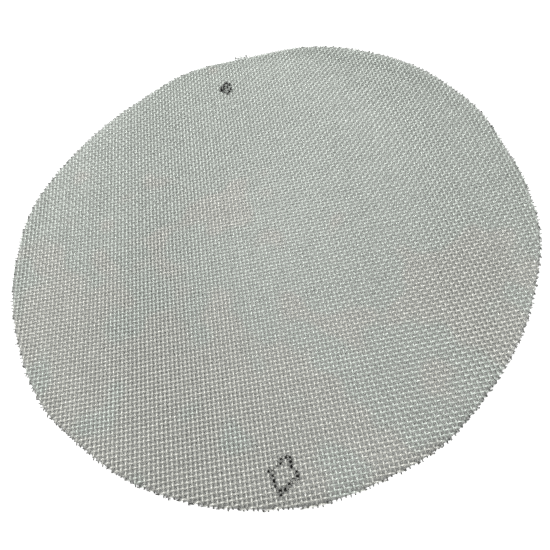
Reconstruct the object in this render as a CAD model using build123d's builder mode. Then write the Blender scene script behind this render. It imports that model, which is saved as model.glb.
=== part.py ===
from build123d import *
import math
import os

# Round burner screen: one disc of stainless steel wire cloth, every wire a round solid.
# The warp wires run along Y. The weft wires run along X and lie on top of them, and the
# whole sheet keeps a shallow curl about the Y axis, left over from the roll it came on.
# +Z is up, out of the hollow side of the curl. The origin is the middle of the disc at
# the level of its lowest wire, so the screen stands on Z = 0.

os.makedirs("parts", exist_ok=True)

# driving dimensions, mm
WIRE_D = 0.45  # wire diameter
APERTURE = 1.00  # clear width of one square opening
DISC_R = 100.1  # mean radius of the cut edge
CURL_RISE = 2.45  # height of the left and right edges over the middle
LAYER_GAP = 0.006  # clearance between the two layers of wire
WIRE_COUNT = 139  # wires that cross the disc in each direction
WIRES_PER_STRIP = 5  # neighbouring wires kept together in one file

WIRE_R = WIRE_D / 2
PITCH = APERTURE + WIRE_D  # wire centre to wire centre, both directions
CURL_R = DISC_R**2 / (2 * CURL_RISE)  # radius of the curl, for a rise small beside DISC_R

# height of the wire centres at the middle of the disc
WARP_Z = WIRE_R
WEFT_Z = WARP_Z + WIRE_D + LAYER_GAP

# the hand-cut edge: (waves per turn, cosine, sine) of its departure from a circle, mm
EDGE_WAVES = [(1, 1.1, 0.1), (2, 0.55, 2.1), (3, -0.9, 0.3), (6, -0.15, -0.4)]
EDGE_PASSES = 60  # repeats when closing in on the point where a wire meets the edge
MIN_REACH = 3.0  # least distance from the middle of a wire to the edge, before scatter

# wire ends stand out or fall short of the edge by a sine of large, uneven steps
END_SCATTER = 0.35  # most that one end departs from the edge, mm
WIRE_PHASE = 12.9898  # phase step from wire to wire, radians
SIDE_PHASE = 4.1  # phase shift at either end of a wire, radians
WEFT_INDEX_SHIFT = 300  # gives the weft other scatter than the warp

OFFSETS = [(n - WIRE_COUNT // 2) * PITCH for n in range(WIRE_COUNT)]


def edge_radius(angle):
    """Radius of the cut edge in the given direction, anticlockwise from +X."""
    return DISC_R + sum(
        c * math.cos(n * angle) + s * math.sin(n * angle) for n, c, s in EDGE_WAVES
    )


def edge_along(offset, side, along_x):
    """Where a wire at this offset meets the cut edge, on side -1 or +1."""
    reach = DISC_R
    for _ in range(EDGE_PASSES):
        x, y = (side * reach, offset) if along_x else (offset, side * reach)
        rim = edge_radius(math.atan2(y, x))
        reach = math.sqrt(max(rim**2 - offset**2, MIN_REACH**2))
    return side * reach


def scatter(index, side):
    """Small repeatable difference between neighbouring cut ends."""
    return END_SCATTER * math.sin(WIRE_PHASE * index + SIDE_PHASE * side)


def wire_spans(along_x, index_shift=0):
    """Start and end of each wire, moved together so that the widest reach is even."""
    spans = []
    for n, offset in enumerate(OFFSETS):
        index = n + index_shift
        start = edge_along(offset, -1, along_x) - scatter(index, -1)
        end = edge_along(offset, 1, along_x) + scatter(index, 1)
        spans.append((start, end))
    middle = (min(start for start, _ in spans) + max(end for _, end in spans)) / 2
    return [(start - middle, end - middle) for start, end in spans]


def curl_height(x):
    """Height of the curled sheet over its middle line at this X."""
    return CURL_R - math.sqrt(CURL_R**2 - x**2)


def warp_strip(strip, spans):
    """Straight round bars along Y, each at its own height on the curl."""
    with BuildPart() as warp:
        for n in strip:
            low, high = spans[n]
            section = Plane(
                origin=(OFFSETS[n], low, WARP_Z + curl_height(OFFSETS[n])),
                x_dir=(1, 0, 0),
                z_dir=(0, 1, 0),
            )
            with BuildSketch(section):
                Circle(WIRE_R)
            extrude(amount=high - low)
    return warp.part


def weft_strip(strip, spans):
    """Round bars along X, bent to the radius of the curl."""
    with BuildPart() as weft:
        for n in strip:
            left, right = spans[n]
            start = math.asin(left / CURL_R)
            end = math.asin(right / CURL_R)
            section = Plane(
                origin=(left, OFFSETS[n], WEFT_Z + curl_height(left)),
                x_dir=(0, 1, 0),
                z_dir=(math.cos(start), 0, math.sin(start)),
            )
            with BuildSketch(section):
                Circle(WIRE_R)
            # the axis points along -Y so that the turn runs from left to right
            curl_axis = Axis((0, OFFSETS[n], WEFT_Z + CURL_R), (0, -1, 0))
            revolve(axis=curl_axis, revolution_arc=math.degrees(end - start))
    return weft.part


def export_strips(layer, build_strip, spans):
    """Builds one layer strip by strip and writes a file for each."""
    for first in range(0, WIRE_COUNT, WIRES_PER_STRIP):
        strip = range(first, min(first + WIRES_PER_STRIP, WIRE_COUNT))
        part = build_strip(strip, spans)
        part.label = f"{layer}_wires_{strip[0] + 1:03d}_to_{strip[-1] + 1:03d}"
        export_step(part, f"parts/{part.label}.step")


export_strips("warp", warp_strip, wire_spans(along_x=False))
export_strips("weft", weft_strip, wire_spans(along_x=True, index_shift=WEFT_INDEX_SHIFT))
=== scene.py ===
"""A round burner screen cut from plain-woven wire cloth.

The cloth lies over the floor in the XY plane, its middle wires crossing at the origin.
Warp wires run along Y and weft wires along X. The camera looks down from the -Y side.
The CAD model holds the wires as straight bars in strips. Each strip is replaced by the
same wires truly woven, over a slightly curled sheet.
"""

import math

import bpy
import numpy as np
from mathutils import Matrix, Vector


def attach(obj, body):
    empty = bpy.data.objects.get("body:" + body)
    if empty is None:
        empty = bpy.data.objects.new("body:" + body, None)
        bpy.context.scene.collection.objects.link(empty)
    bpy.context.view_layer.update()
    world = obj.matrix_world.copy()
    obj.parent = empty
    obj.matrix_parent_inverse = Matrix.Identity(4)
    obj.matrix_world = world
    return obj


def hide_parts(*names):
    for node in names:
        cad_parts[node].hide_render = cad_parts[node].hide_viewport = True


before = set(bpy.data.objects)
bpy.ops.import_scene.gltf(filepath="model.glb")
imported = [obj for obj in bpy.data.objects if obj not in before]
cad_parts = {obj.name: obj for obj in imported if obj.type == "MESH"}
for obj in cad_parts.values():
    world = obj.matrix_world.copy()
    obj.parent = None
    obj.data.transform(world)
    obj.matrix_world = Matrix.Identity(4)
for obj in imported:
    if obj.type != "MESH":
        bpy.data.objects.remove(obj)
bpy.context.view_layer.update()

MM = 0.001

# ---------------------------------------------------------------------------
# cloth sizes
# ---------------------------------------------------------------------------

PITCH = 1.45 * MM  # wire centre to wire centre
WIRE_D = 0.45 * MM
WIRE_R = WIRE_D / 2
WIRES = 139  # each way
MIDDLE_WIRE = WIRES // 2
DISC_R = 100.1 * MM
SIDES = 8  # corners of a wire's section
STEPS = 4  # rings per pitch
CRIMP = WIRE_R + 0.002 * MM  # half of the up and down travel of a wire
SHARP = -0.04  # share of the third harmonic taken out of the crimp's cosine
FLOOR_GAP = 0.004 * MM

# cut ends of the wires
CUT_SPREAD = (-0.15 * PITCH, 0.45 * PITCH)  # how far a cut runs past the rim
CUT_CLEAR = 0.3  # least gap from a cut to the next ring, in steps
TIP_LENGTH = 0.035 * MM  # chamfer at a cut end
TIP_R = WIRE_R * 0.8
FREE_LENGTH = 1.6  # pitches of a wire's end that are knocked about
KICK_CHANCE, KICK = 0.06, 3  # share of ends bent harder, and by how much

# the sheet's height as a polynomial: (power of u, power of v): factor, with u along +X
# and v along -Y from SHEET_CENTRE, all in units of SHEET_R and counted downwards
SHEET_R = 69.2 * PITCH
SHEET_CENTRE = (1.4 * PITCH, -0.85 * PITCH)
SHEET = {
    (0, 2): -0.01397834,
    (1, 1): -0.00945199,
    (2, 0): -0.02616821,
    (0, 3): 0.00266243,
    (1, 2): 0.00311006,
    (2, 1): 0.00568262,
    (3, 0): -0.00151775,
    (0, 4): 0.00961044,
    (1, 3): 0.01880845,
    (2, 2): 0.00583439,
    (3, 1): -0.00073333,
    (4, 0): 0.00217605,
}

# the cut edge: mean radius, and waves round it (order, cosine, sine), all in pitches
RIM = 69.04
RIM_WAVES = [
    (1, 0.78, 0.04), (2, 0.37, 1.44), (3, -0.64, 0.22), (4, 0.02, -0.08),
    (5, -0.15, -0.12), (6, 0.01, -0.31), (7, 0.07, 0.09), (8, -0.25, -0.04),
    (9, -0.07, -0.11), (10, 0.05, -0.08), (11, 0.01, 0.09), (12, -0.08, 0.0),
    (13, -0.05, -0.14), (14, -0.03, 0.04), (17, 0.07, -0.01), (20, 0.04, 0.01),
]  # fmt: skip

# pen marks: a blotted oval spot on the +Y side, and an open diamond on the -Y side
SPOT_AT = (-9.12314 * MM, 79.21065 * MM)
SPOT_RADII = (3.1 * MM, 3.9 * MM)
DIAMOND_INNER = np.array([-6.387333, -84.521245]) * MM  # end nearer the disc's middle
DIAMOND_OUTER = np.array([-10.62663, -95.772873]) * MM
DIAMOND_INSET = 0.6 * MM  # the line's middle lies this far inside each end
DIAMOND_HALF_WIDTH = 4.4 * MM
DIAMOND_LINE = 0.2  # half of the line's width, as a share of the diamond's size
INK_CELL = 0.55 * PITCH  # patches that take the ink or miss it as a whole
INK_TAKES = {"warp": 0.85, "weft": 0.45, "line": 0.88}  # share of the patches inked
INK_CROSSING = 0.3  # the line inks a wire this near a crossing, in pitches
INK_BUILD = 0.6  # how much a wire thickens where the pen touched it


# ---------------------------------------------------------------------------
# shape of the cloth
# ---------------------------------------------------------------------------


def sheet(x, y):
    """Height of the middle of the cloth before it is set on the floor."""
    u = (x - SHEET_CENTRE[0]) / SHEET_R
    v = (SHEET_CENTRE[1] - y) / SHEET_R
    depth = 0
    for (u_power, v_power), factor in SHEET.items():
        depth = depth + factor * u**u_power * v**v_power
    return -depth * SHEET_R


def sheet_lift():
    """How far to raise the sheet so that its lowest point stands on the floor."""
    line = np.linspace(-1, 1, 81) * DISC_R
    x, y = np.meshgrid(line, line)
    inside = x**2 + y**2 < DISC_R**2
    return -float(sheet(x, y)[inside].min()) + WIRE_D + FLOOR_GAP


LIFT = sheet_lift()


def on_cloth(x, y):
    return np.array([x, y, LIFT + sheet(x, y)])


def rim(angle):
    radius = RIM
    for order, cosine, sine in RIM_WAVES:
        radius = radius + cosine * np.cos(order * angle) + sine * np.sin(order * angle)
    return float(radius * PITCH)


def cut_at(offset, side, warp):
    """Where a wire at this offset meets the cut edge, measured along the wire."""
    reach = DISC_R
    for _ in range(60):
        x, y = (offset, side * reach) if warp else (side * reach, offset)
        radius = rim(np.arctan2(y, x))
        reach = math.sqrt(max(radius * radius - offset * offset, (2 * PITCH) ** 2))
    return side * reach


def wave(phase):
    """The crimp: +1 on a crest, -1 in a trough, phase in pitches."""
    return (1 + SHARP) * np.cos(np.pi * phase) - SHARP * np.cos(3 * np.pi * phase)


def smooth_noise(count, every, amount, gen):
    """A smooth random line with a knot every so many samples."""
    knot_count = max(4, count // every + 3)
    knots = gen.normal(0, amount, knot_count)
    x = np.linspace(0, knot_count - 1.001, count)
    i = np.floor(x).astype(int)
    blend = x - i
    blend = blend * blend * (3 - 2 * blend)
    return knots[i] * (1 - blend) + knots[np.minimum(i + 1, knot_count - 1)] * blend


def pen_ink(x, y, crossing, warp):
    """1 where the pen inked a wire, else 0. The diamond's line catches crossings only."""
    spot = ((x - SPOT_AT[0]) / SPOT_RADII[0]) ** 2 + ((y - SPOT_AT[1]) / SPOT_RADII[1]) ** 2 < 1
    middle = (DIAMOND_INNER + DIAMOND_OUTER) / 2
    axis = DIAMOND_INNER - DIAMOND_OUTER
    half_length = float(np.hypot(*axis)) / 2 - DIAMOND_INSET
    turn = math.atan2(-axis[0], axis[1])
    across = (x - middle[0]) * math.cos(turn) + (y - middle[1]) * math.sin(turn)
    along = (y - middle[1]) * math.cos(turn) - (x - middle[0]) * math.sin(turn)
    size = np.abs(across) / DIAMOND_HALF_WIDTH + np.abs(along) / half_length
    line = np.abs(size - 1) < DIAMOND_LINE
    # a hash of the cell gives each patch its own chance from 0 to 1
    i, j = np.round(x / INK_CELL), np.round(y / INK_CELL)
    chance = np.mod(np.sin(i * 12.9898 + j * 78.233) * 43758.5453, 1.0)
    spot_took = chance < INK_TAKES["warp" if warp else "weft"]
    line_took = (chance < INK_TAKES["line"]) & crossing
    return ((spot | line) & np.where(spot, spot_took, line_took)).astype(float)


# ---------------------------------------------------------------------------
# woven wires
# ---------------------------------------------------------------------------


def wire_path(number, warp, gen):
    """A wire's places along its length (cut to cut), centre line and crimp."""
    offset = (number - MIDDLE_WIRE) * PITCH
    start = cut_at(offset, -1, warp)
    end = cut_at(offset, 1, warp)
    # shears leave each end a little long or short
    start -= gen.uniform(*CUT_SPREAD)
    end += gen.uniform(*CUT_SPREAD)
    step = PITCH / STEPS
    first = math.ceil(start / step + CUT_CLEAR)
    last = math.floor(end / step - CUT_CLEAR)
    along = np.concatenate([[start], np.arange(first, last + 1) * step, [end]])
    count = len(along)
    crimp = wave(along / PITCH + number - MIDDLE_WIRE + (1 if warp else 0))
    # sideways wander of the wire in the plane of the cloth
    side = np.full(count, gen.normal(0, 0.018) * PITCH)
    side += smooth_noise(count, every=12 * STEPS, amount=0.012 * PITCH, gen=gen)
    rise = np.zeros(count)
    # free ends past the last crossing are knocked about
    for cut in (start, end):
        free = np.clip(FREE_LENGTH - np.abs(along - cut) / PITCH, 0, None) ** 2
        free /= FREE_LENGTH**2
        kick = KICK if gen.random() < KICK_CHANCE else 1
        side += free * gen.normal(0, 0.07) * kick * PITCH
        rise += free * gen.normal(0.02, 0.05) * kick * PITCH
    x, y = (offset + side, along) if warp else (along, offset + side)
    return along, np.stack([x, y, sheet(x, y) + CRIMP * crimp + rise], 1), crimp


def wire_mesh(number, warp):
    """One woven wire: vertices, face corners, face sizes and per-vertex values."""
    gen = np.random.default_rng(900 + number + (0 if warp else 5000))
    along, centre, crimp = wire_path(number, warp, gen)
    run = np.gradient(centre, axis=0)
    run /= np.linalg.norm(run, axis=1)[:, None]
    rising = np.array([0.0, 0.0, 1.0]) - run * run[:, 2:3]
    rising /= np.linalg.norm(rising, axis=1)[:, None]
    across = np.cross(run, rising)
    crossing = np.abs(along / PITCH - np.round(along / PITCH)) < INK_CROSSING
    ink = pen_ink(centre[:, 0], centre[:, 1], crossing, warp)

    # both end rings are doubled to make a small chamfer at each cut
    doubled = np.concatenate([[0], np.arange(len(along)), [len(along) - 1]])
    centre, rising, across = centre[doubled], rising[doubled], across[doubled]
    along, crimp, ink = along[doubled], crimp[doubled], ink[doubled]
    centre[0] -= run[0] * TIP_LENGTH
    centre[-1] += run[-1] * TIP_LENGTH
    radius = WIRE_R * (1 + INK_BUILD * ink)
    radius[[0, -1]] = TIP_R

    rings = len(along)
    angle = (np.arange(SIDES) + 0.5) * 2 * np.pi / SIDES
    section = (
        across[:, None, :] * np.cos(angle)[None, :, None]
        + rising[:, None, :] * np.sin(angle)[None, :, None]
    )
    verts = (centre[:, None, :] + section * radius[:, None, None]).reshape(-1, 3)
    i = np.arange(rings - 1)[:, None] * SIDES
    j = np.arange(SIDES)[None, :]
    k = (j + 1) % SIDES
    quads = np.stack([i + j, i + SIDES + j, i + SIDES + k, i + k], 2).reshape(-1)
    start_cap = np.arange(SIDES)
    end_cap = (rings - 1) * SIDES + np.arange(SIDES)[::-1]
    corners = np.concatenate([quads, start_cap, end_cap])
    sizes = [4] * (len(quads) // 4) + [SIDES, SIDES]

    # 1 at a cut end, fading to 0 further in; it sets where the painted shade of the cut ends
    # lies
    to_cut = np.minimum(np.abs(along - along[0]), np.abs(along[-1] - along)) / PITCH
    values = {
        "crest": np.repeat(crimp, SIDES),
        "tip": np.repeat(np.clip(1.25 - to_cut / 0.9, 0, 1), SIDES),
        "tone": np.full(rings * SIDES, gen.uniform(0, 1)),
        "ink": np.repeat(ink, SIDES),
    }
    return verts, corners, sizes, values


def link_new(name, data):
    ob = bpy.data.objects.new(name, data)
    bpy.context.scene.collection.objects.link(ob)
    return ob


def strip_object(strip, first, last, warp, material):
    """All the woven wires of one CAD strip as one mesh object."""
    verts, corners, sizes, base = [], [], [], 0
    values = {"crest": [], "tip": [], "tone": [], "ink": []}
    for number in range(first - 1, last):
        wire_verts, wire_corners, wire_sizes, wire_values = wire_mesh(number, warp)
        verts.append(wire_verts)
        corners.append(wire_corners + base)
        sizes += wire_sizes
        for key, value in wire_values.items():
            values[key].append(value)
        base += len(wire_verts)
    verts, corners, sizes = np.concatenate(verts), np.concatenate(corners), np.array(sizes)
    verts[:, 2] += LIFT
    starts = np.cumsum(sizes) - sizes

    me = bpy.data.meshes.new(strip + "_woven")
    me.vertices.add(len(verts))
    me.vertices.foreach_set("co", verts.astype(np.float32).reshape(-1))
    me.loops.add(len(corners))
    me.loops.foreach_set("vertex_index", corners.astype(np.int32))
    me.polygons.add(len(starts))
    me.polygons.foreach_set("loop_start", starts.astype(np.int32))
    me.update(calc_edges=True)
    me.validate()
    me.shade_smooth()
    # the flat cut faces stay sharp
    if "sharp_face" not in me.attributes:
        me.attributes.new("sharp_face", "BOOLEAN", "FACE")
    me.attributes["sharp_face"].data.foreach_set("value", sizes == SIDES)
    for key, value in values.items():
        at = me.attributes.new(key, "FLOAT", "POINT")
        at.data.foreach_set("value", np.concatenate(value).astype(np.float32))
    me.materials.append(material)
    return link_new(strip + "_woven", me)


# ---------------------------------------------------------------------------
# shader helpers
# ---------------------------------------------------------------------------


def put(nt, socket, value):
    """Link an output to the socket, or set a number or a colour on it."""
    if isinstance(value, (int, float)):
        socket.default_value = value
    elif isinstance(value, tuple):
        socket.default_value = (*value, 1)
    else:
        nt.links.new(value, socket)


def maths(nt, operation, first, second):
    n = nt.nodes.new("ShaderNodeMath")
    n.operation = operation
    put(nt, n.inputs[0], first)
    put(nt, n.inputs[1], second)
    return n.outputs[0]


def mix_colour(nt, share, first, second, blend="MIX"):
    n = nt.nodes.new("ShaderNodeMix")
    n.data_type = "RGBA"
    n.blend_type = blend
    put(nt, n.inputs[0], share)
    put(nt, n.inputs[6], first)
    put(nt, n.inputs[7], second)
    return n.outputs[2]


def attribute(nt, name):
    n = nt.nodes.new("ShaderNodeAttribute")
    n.attribute_name = name
    return n.outputs["Fac"]


def noise(nt, position, scale, detail, roughness):
    n = nt.nodes.new("ShaderNodeTexNoise")
    n.inputs["Scale"].default_value = scale
    n.inputs["Detail"].default_value = detail
    n.inputs["Roughness"].default_value = roughness
    nt.links.new(position, n.inputs["Vector"])
    return n.outputs["Fac"]


def remap(nt, value, span, to=(0.0, 1.0)):
    n = nt.nodes.new("ShaderNodeMapRange")
    nt.links.new(value, n.inputs[0])
    for i, number in enumerate((*span, *to)):
        n.inputs[i + 1].default_value = number
    return n.outputs[0]


# ---------------------------------------------------------------------------
# wire steel
# ---------------------------------------------------------------------------

BASE_COOL = (0.600, 0.640, 0.601)
BASE_WARM = (0.632, 0.632, 0.594)
WARM_SLOPE = (-7.5, -11.0)  # warmth per metre along X and Y
WARM_CLOUD = 3.4  # warmth given by the cloudy noise
WARM_SPAN = (2.2, 2.5)  # warmth where the tint turns from cool to warm
# warm patches on the cloth: x, y, reach, added warmth
WARM_PATCHES = [
    (72.6872 * MM, -38.3873 * MM, 0.035, 1.9),
    (-11.7065 * MM, 16.7525 * MM, 0.03, 1.2),
    (-15.5873 * MM, 93.7087 * MM, 0.02, 1.6),
    (-14.9480 * MM, -45.7406 * MM, 0.035, 0.5),
]
TONE_SHADE = (0.93, 1.05)  # brightness from the darkest wire to the palest
SPOT_SPAN = (0.3, 0.7)  # part of the fine noise that is used
SPOT_SHADE = (0.9, 1.08)
CREST_WEAR_TROUGH_SHADE = (0.82, 1.06)  # brightness from trough to crest: painted shade in the troughs under the crossing wires, and lighter worn crests
TIP_PAINTED_SHADE = 0.03  # brightness at a cut end: painted shade for the loose ends' shaded sides and their shadows
INK_COLOUR = (0.006, 0.006, 0.006)
METAL = 0.9
ROUGH = 0.36


def warmth(nt, position):
    """Tint over the cloth: a slope towards -X and -Y, clouds and a few patches."""
    place = nt.nodes.new("ShaderNodeSeparateXYZ")
    nt.links.new(position, place.inputs[0])
    slope_x = maths(nt, "MULTIPLY", place.outputs[0], WARM_SLOPE[0])
    slope_y = maths(nt, "MULTIPLY", place.outputs[1], WARM_SLOPE[1])
    cloud = noise(nt, position, scale=55.0, detail=1.0, roughness=0.5)
    cloud = maths(nt, "MULTIPLY", cloud, WARM_CLOUD)
    warm = maths(nt, "ADD", maths(nt, "ADD", slope_x, slope_y), cloud)
    for x, y, reach, added in WARM_PATCHES:
        gap = nt.nodes.new("ShaderNodeVectorMath")
        gap.operation = "DISTANCE"
        nt.links.new(position, gap.inputs[0])
        gap.inputs[1].default_value = tuple(on_cloth(x, y))
        patch = remap(nt, gap.outputs["Value"], span=(0.0, reach), to=(added, 0.0))
        warm = maths(nt, "ADD", warm, patch)
    return warm


def wire_material(name):
    mat = bpy.data.materials.new(name)
    mat.use_nodes = True
    nt = mat.node_tree
    nt.nodes.clear()
    out = nt.nodes.new("ShaderNodeOutputMaterial")
    bsdf = nt.nodes.new("ShaderNodeBsdfPrincipled")
    nt.links.new(bsdf.outputs[0], out.inputs[0])
    position = nt.nodes.new("ShaderNodeTexCoord").outputs["Object"]
    base = mix_colour(nt, remap(nt, warmth(nt, position), WARM_SPAN), BASE_COOL, BASE_WARM)

    # brightness: wire to wire, fine spots, then painted shade: troughs darker under the
    # crossing wires (crests lighter as worn), cut ends darkest
    shade = remap(nt, attribute(nt, "tone"), span=(0, 1), to=TONE_SHADE)
    spots = noise(nt, position, scale=900.0, detail=3.0, roughness=0.6)
    for value, span, to in (
        (spots, SPOT_SPAN, SPOT_SHADE),
        (attribute(nt, "crest"), (-1, 1), CREST_WEAR_TROUGH_SHADE),
        # painted shade: the cut ends darken towards black
        (attribute(nt, "tip"), (0, 1), (1.0, TIP_PAINTED_SHADE)),
    ):
        shade = maths(nt, "MULTIPLY", shade, remap(nt, value, span, to))
    grey = nt.nodes.new("ShaderNodeCombineColor")
    for i in range(3):
        nt.links.new(shade, grey.inputs[i])
    colour = mix_colour(nt, 1.0, base, grey.outputs[0], "MULTIPLY")

    # ink covers the metal and is duller
    ink = remap(nt, attribute(nt, "ink"), span=(0.25, 0.6))
    colour = mix_colour(nt, ink, colour, INK_COLOUR)
    nt.links.new(colour, bsdf.inputs["Base Color"])
    metal = maths(nt, "MULTIPLY", maths(nt, "SUBTRACT", 1.0, ink), METAL)
    nt.links.new(metal, bsdf.inputs["Metallic"])
    rough = remap(nt, spots, SPOT_SPAN, to=(ROUGH - 0.05, ROUGH + 0.08))
    rough = maths(nt, "ADD", rough, maths(nt, "MULTIPLY", ink, 0.2))
    nt.links.new(rough, bsdf.inputs["Roughness"])
    specular = remap(nt, ink, span=(0, 1), to=(0.5, 0.05))
    nt.links.new(specular, bsdf.inputs["Specular IOR Level"])
    return mat


# ---------------------------------------------------------------------------
# camera
# ---------------------------------------------------------------------------

CAMERA_LENS = 33.600764  # focal length in mm on a sensor 36 mm wide
CAMERA_SHIFT = (-0.051030909, -0.066549091)
# turn from looking straight down: axis times angle in radians
CAMERA_TURN = Vector((0.5427839970, 0.0409844062, -0.1964198839))
# from the sheet's centre, along the camera's own right, up and backward directions
CAMERA_OFFSET = Vector((11.05487649, -5.13888187, 201.26720145)) * MM

turn = Matrix.Rotation(CAMERA_TURN.length, 3, CAMERA_TURN)
eye = np.array([*SHEET_CENTRE, LIFT]) + np.array(turn @ CAMERA_OFFSET)

camera = link_new("camera", bpy.data.cameras.new("camera"))
camera.data.sensor_fit = "HORIZONTAL"
camera.data.sensor_width = 36
camera.data.lens = CAMERA_LENS
camera.data.shift_x, camera.data.shift_y = CAMERA_SHIFT
camera.data.clip_start = 0.005
camera.data.clip_end = 20
camera.matrix_world = Matrix.Translation(Vector(eye)) @ turn.to_4x4()
scene = bpy.context.scene
scene.camera = camera
# the Cycles settings exist only where that engine is loaded
if hasattr(scene, "cycles"):
    scene.cycles.filter_width = 2.0
    scene.cycles.use_denoising = False
    scene.cycles.sample_clamp_direct = 2.2
    scene.cycles.sample_clamp_indirect = 1.6

# ---------------------------------------------------------------------------
# cloth
# ---------------------------------------------------------------------------

steel = wire_material("woven_stainless_wire")
for name in sorted(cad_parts):
    kind, _, first, _, last = name.split("_")
    ob = strip_object(name, int(first), int(last), kind == "warp", steel)
    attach(ob, "root")
    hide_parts(name)

# ---------------------------------------------------------------------------
# floor: pale, with a greyer patch of painted shade just behind the cloth as the camera sees it,
# for the cloth's shade on the floor seen through its holes
# ---------------------------------------------------------------------------

FLOOR_Z = -0.1 * MM
FLOOR_R = 3.0
FLOOR_COLOUR = (0.8, 0.8, 0.795)
OUTLINE_POINTS = 360
SHADE_EDGE = -0.2 * PITCH  # from the rim to the patch's edge
# the patch's grey is painted shade: the cloth's shade on the floor
SHADE_COLOUR = (0.275 * 0.985, 0.275, 0.275 * 0.965)
RIM_PAINTED_SHADE_RADII = (94.5 * MM, 99.5 * MM)  # radii between which the patch darkens: painted shade under the raised rim
RIM_PAINTED_SHADE_SHARE = 0.65  # its brightness beyond them, the painted shade at the rim


def floor_material(name, colour):
    mat = bpy.data.materials.new(name)
    mat.use_nodes = True
    shader = mat.node_tree.nodes["Principled BSDF"]
    shader.inputs["Base Color"].default_value = (*colour, 1)
    shader.inputs["Roughness"].default_value = 0.9
    shader.inputs["Specular IOR Level"].default_value = 0.1
    return mat


# the grey patch under the cloth: painted shade, darker still near the rim
def painted_shade_material():
    mat = floor_material("pale_floor_in_shade", SHADE_COLOUR)
    nt = mat.node_tree
    position = nt.nodes.new("ShaderNodeTexCoord")
    radius = nt.nodes.new("ShaderNodeVectorMath")
    radius.operation = "LENGTH"
    nt.links.new(position.outputs["Object"], radius.inputs[0])
    # painted shade: the patch darkens towards the rim
    share = remap(nt, radius.outputs["Value"], RIM_PAINTED_SHADE_RADII)
    dark = tuple(part * RIM_PAINTED_SHADE_SHARE for part in SHADE_COLOUR)
    colour = mix_colour(nt, share, SHADE_COLOUR, dark)
    nt.links.new(colour, nt.nodes["Principled BSDF"].inputs["Base Color"])
    return mat


def staged(name, verts, faces, mat):
    me = bpy.data.meshes.new(name)
    me.from_pydata(verts, [], faces)
    me.materials.append(mat)
    ob = link_new(name, me)
    return ob


def behind_rim(angle):
    """The floor point that the camera sees behind the cloth's rim."""
    radius = rim(angle) + SHADE_EDGE
    ray = on_cloth(radius * math.cos(angle), radius * math.sin(angle)) - eye
    point = eye + ray * ((FLOOR_Z - eye[2]) / ray[2])
    return float(point[0]), float(point[1]), FLOOR_Z


angles = [2 * math.pi * k / OUTLINE_POINTS for k in range(OUTLINE_POINTS)]
outline = [behind_rim(w) for w in angles]
border = [(FLOOR_R * math.cos(w), FLOOR_R * math.sin(w), FLOOR_Z) for w in angles]
ring_faces = []
for k in range(OUTLINE_POINTS):
    after = (k + 1) % OUTLINE_POINTS
    ring_faces.append((k, OUTLINE_POINTS + k, OUTLINE_POINTS + after, after))
pale = floor_material("pale_floor", FLOOR_COLOUR)
floor = staged("floor", outline + border, ring_faces, pale)
painted_shade_patch = staged("floor_in_shade", outline, [tuple(range(OUTLINE_POINTS))], painted_shade_material())

# ---------------------------------------------------------------------------
# world: a dome whose glow varies with direction
# ---------------------------------------------------------------------------

DOME_COLOUR = (0.985, 1.0, 0.975, 1)
DOME_EVEN = 1.76  # glow the same in every direction
# how much the glow changes with each term of the direction
DOME = {"x": 0.096, "y": -0.104, "z": -0.913, "zz": -1.027, "xy": -0.399, "xx-yy": 0.151}
DOME_LEAST = 0.02

world = bpy.data.worlds.new("studio")
scene.world = world
world.use_nodes = True
nt = world.node_tree
background = nt.nodes["Background"]
direction = nt.nodes.new("ShaderNodeTexCoord")
parts = nt.nodes.new("ShaderNodeSeparateXYZ")
nt.links.new(direction.outputs["Generated"], parts.inputs[0])
x, y, z = parts.outputs
squares = [maths(nt, "MULTIPLY", part, part) for part in (x, y)]
glow = maths(nt, "ADD", maths(nt, "MULTIPLY", x, DOME["x"]), DOME_EVEN)
for term, factor in (
    (y, DOME["y"]),
    (z, DOME["z"]),
    (maths(nt, "MULTIPLY", z, z), DOME["zz"]),
    (maths(nt, "MULTIPLY", x, y), DOME["xy"]),
    (maths(nt, "SUBTRACT", *squares), DOME["xx-yy"]),
):
    glow = maths(nt, "ADD", glow, maths(nt, "MULTIPLY", term, factor))
nt.links.new(maths(nt, "MAXIMUM", glow, DOME_LEAST), background.inputs[1])
background.inputs[0].default_value = DOME_COLOUR

# ---------------------------------------------------------------------------
# lights
# ---------------------------------------------------------------------------

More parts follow.
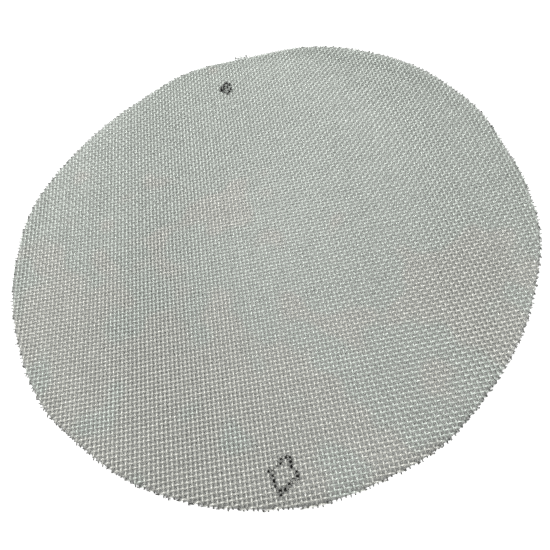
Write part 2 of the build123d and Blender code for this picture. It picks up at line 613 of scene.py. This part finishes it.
GLINT_AT = (-37.89758 * MM, -48.26417 * MM)  # where the cloth mirrors the softboxes
KEYS = [(0.5, 0.3, 1.77), (1.0, 0.4, 1.82)]  # distance, size, power
FLOOR_LIGHT = 4.0
# azimuth from +X, elevation (both in degrees), power
SHADE_LIGHTS = [
    (180, 70, 0.442), (270, 70, 1.064), (0, 50, 1.448), (90, 50, 0.157), (270, 50, 1.949),
]  # fmt: skip


def aim(ob, direction):
    ob.rotation_euler = direction.to_track_quat("-Z", "Y").to_euler()


def softbox(name, at, look, size, power):
    light = bpy.data.lights.new(name, "AREA")
    light.shape = "SQUARE"
    light.size = size
    light.energy = power
    ob = link_new(name, light)
    ob.location = at
    aim(ob, Vector(look) - Vector(at))


def sun(name, azimuth, elevation, power, width, receiver):
    """A sun that lights only the receiver collection; angles in degrees."""
    light = bpy.data.lights.new(name, "SUN")
    light.energy = power
    light.angle = math.radians(width)
    ob = link_new(name, light)
    az, el = math.radians(azimuth), math.radians(elevation)
    toward = Vector((math.cos(el) * math.cos(az), math.cos(el) * math.sin(az), math.sin(el)))
    aim(ob, -toward)
    ob.light_linking.receiver_collection = receiver
    return ob


def collection_of(name, ob):
    collection = bpy.data.collections.new(name)
    collection.objects.link(ob)
    return collection


# the softboxes hang where a level mirror at the glint would show them
glint = on_cloth(*GLINT_AT)
away = glint - eye
away /= np.linalg.norm(away)
mirrored = away * (1, 1, -1)
for distance, size, power in KEYS:
    softbox(f"key_{distance}", glint + mirrored * distance, glint, size, power)

# a light straight above that reaches only the floor, so that it stays evenly pale
only_floor = collection_of("floor_only", floor)
above = sun("floor_light", 0, 90, FLOOR_LIGHT, width=5, receiver=only_floor)
above.light_linking.blocker_collection = bpy.data.collections.new("no_shadows")

# light on the patch below the cloth, where the wires throw their own shadows
only_shade = collection_of("floor_in_shade_only", painted_shade_patch)
for azimuth, elevation, power in SHADE_LIGHTS:
    name = f"shade_{azimuth}_{elevation}"
    sun(name, azimuth, elevation, power, width=12, receiver=only_shade)

view = scene.view_settings
view.view_transform = "Standard"
view.look = "None"
view.exposure = 0.0
view.gamma = 1.0
